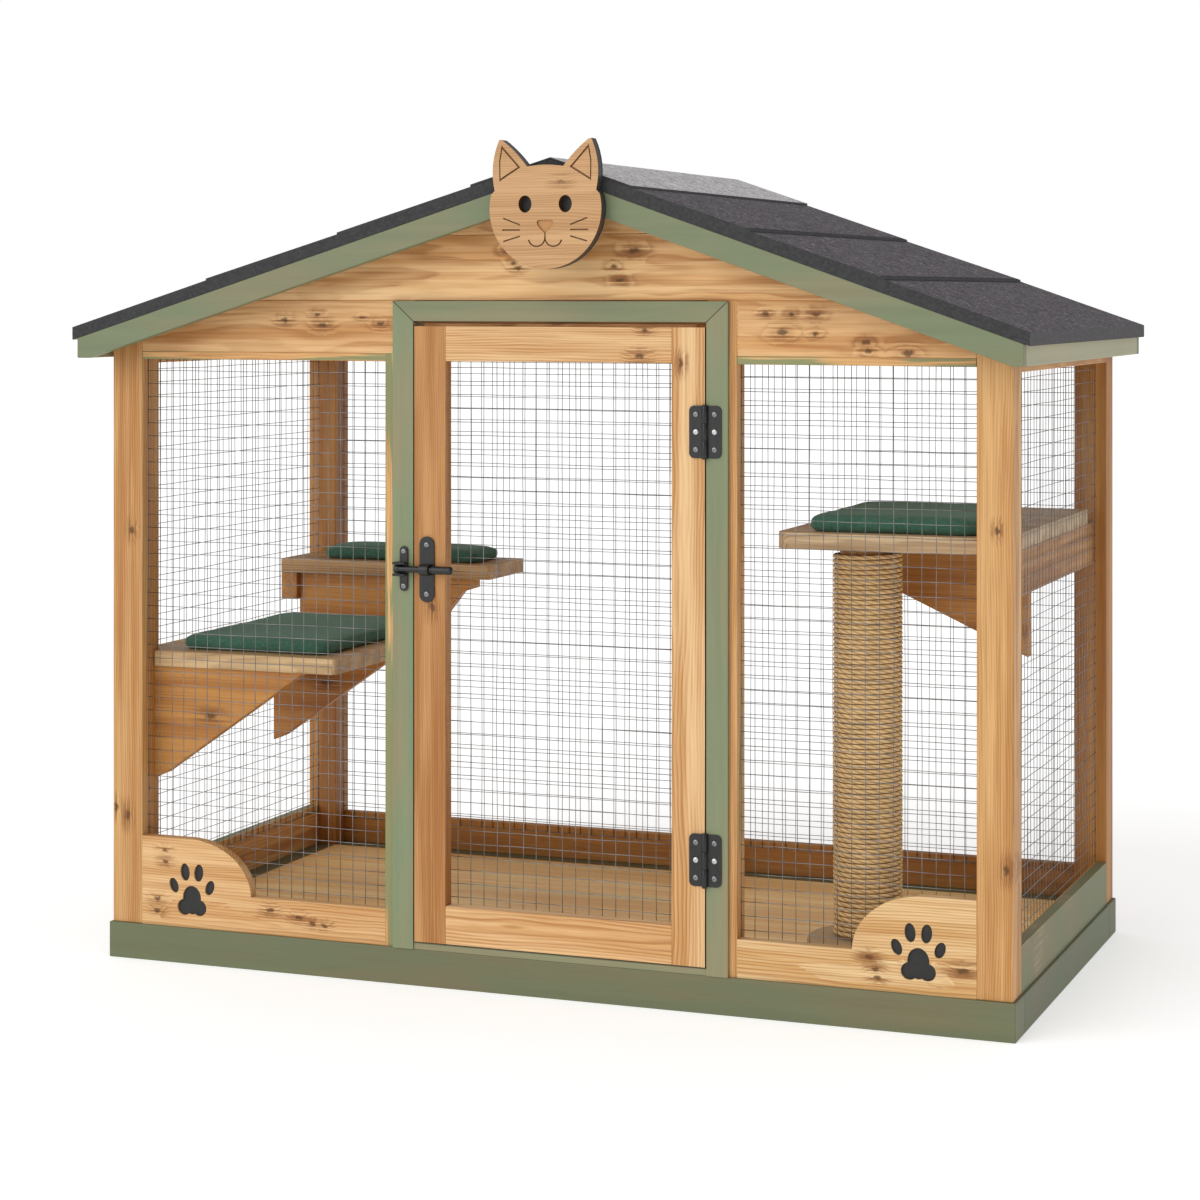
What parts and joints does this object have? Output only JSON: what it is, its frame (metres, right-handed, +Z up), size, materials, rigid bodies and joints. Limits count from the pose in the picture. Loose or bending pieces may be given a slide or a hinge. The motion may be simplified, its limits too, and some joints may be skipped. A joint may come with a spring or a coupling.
{
  "type": "outdoor cat enclosure",
  "caption": "Timber outdoor cat enclosure with a gabled felt roof, wire mesh sides, a hinged door with a slide latch, padded platforms and a sisal scratching post.",
  "frame": {"origin": "on the ground, under the middle of the enclosure", "axes": "+Z up, +X to the right seen from the front, +Y towards the back; the door is at -Y"},
  "size_m": [1.39, 0.82, 1.1659],
  "materials": {
    "pine": "oiled, satin",
    "sage_paint": "painted, satin",
    "black_board": "matte",
    "galvanised_wire": "galvanised",
    "black_hardware": "powder coated, satin",
    "screw_steel": "zinc plated",
    "roof_felt": "mineral grit",
    "green_fabric": "felted",
    "sisal": "twisted fibre"
  },
  "bodies": {
    "enclosure": {"base_front_rail": "sage_paint", "base_back_rail": "sage_paint", "base_side_rails": "sage_paint", "floor_bearers": "pine", "floor_boards": "pine", "front_posts": "pine", "back_posts": "pine", "jamb_studs": "sage_paint", "door_lintel": "pine", "back_stud": "pine", "paw_rail_left": "pine", "paw_rail_right": "pine", "paw_inlays": "black_board", "header_boards": "pine", "gable_boards": "pine", "mesh_beads": "sage_paint", "casing_jamb_left": "sage_paint", "casing_jamb_right": "sage_paint", "casing_head": "sage_paint", "door_sill": "sage_paint", "side_bottom_rails": "pine", "side_top_boards": "pine", "back_bottom_rail": "pine", "mesh_front_left": "galvanised_wire", "mesh_front_right": "galvanised_wire", "mesh_sides": "galvanised_wire", "mesh_back": "galvanised_wire", "hinge_frame_leaves": "black_hardware", "hinge_pins": "black_hardware", "latch_keeper": "black_hardware", "frame_screws": "screw_steel", "roof_decks": "pine", "felt_left": "roof_felt", "felt_right": "roof_felt", "ridge_cap": "roof_felt", "ridge_beam": "pine", "barge_boards": "sage_paint", "fascias": "sage_paint", "cat_plaque": "pine", "cat_plaque_back": "black_board", "platform_left": "pine", "platform_right": "pine", "rear_shelf": "pine", "gussets": "pine", "ledgers": "pine", "cushion_left": "green_fabric", "cushion_right": "green_fabric", "cushion_rear": "green_fabric", "scratch_post_core": "pine", "sisal_winding": "sisal", "scratch_post_ends": "sisal"},
    "door": {"door_stile_latch": "pine", "door_stile_hinge": "pine", "door_rails": "pine", "door_mesh": "galvanised_wire", "hinge_door_leaves": "black_hardware", "latch_plate": "black_hardware", "door_screws": "screw_steel"},
    "latch_bolt": {"latch_bolt": "black_hardware"}
  },
  "joints": [
    {"name": "door_hinge", "type": "hinge", "parent": "enclosure", "child": "door", "pos_m": [0.247, -0.3462, 0], "axis": [0, 0, 1], "range_deg": [0, 110]},
    {"name": "latch_slide", "type": "slide", "parent": "door", "child": "latch_bolt", "axis": [1, 0, 0], "range_m": [0, 0.03]}
  ]
}
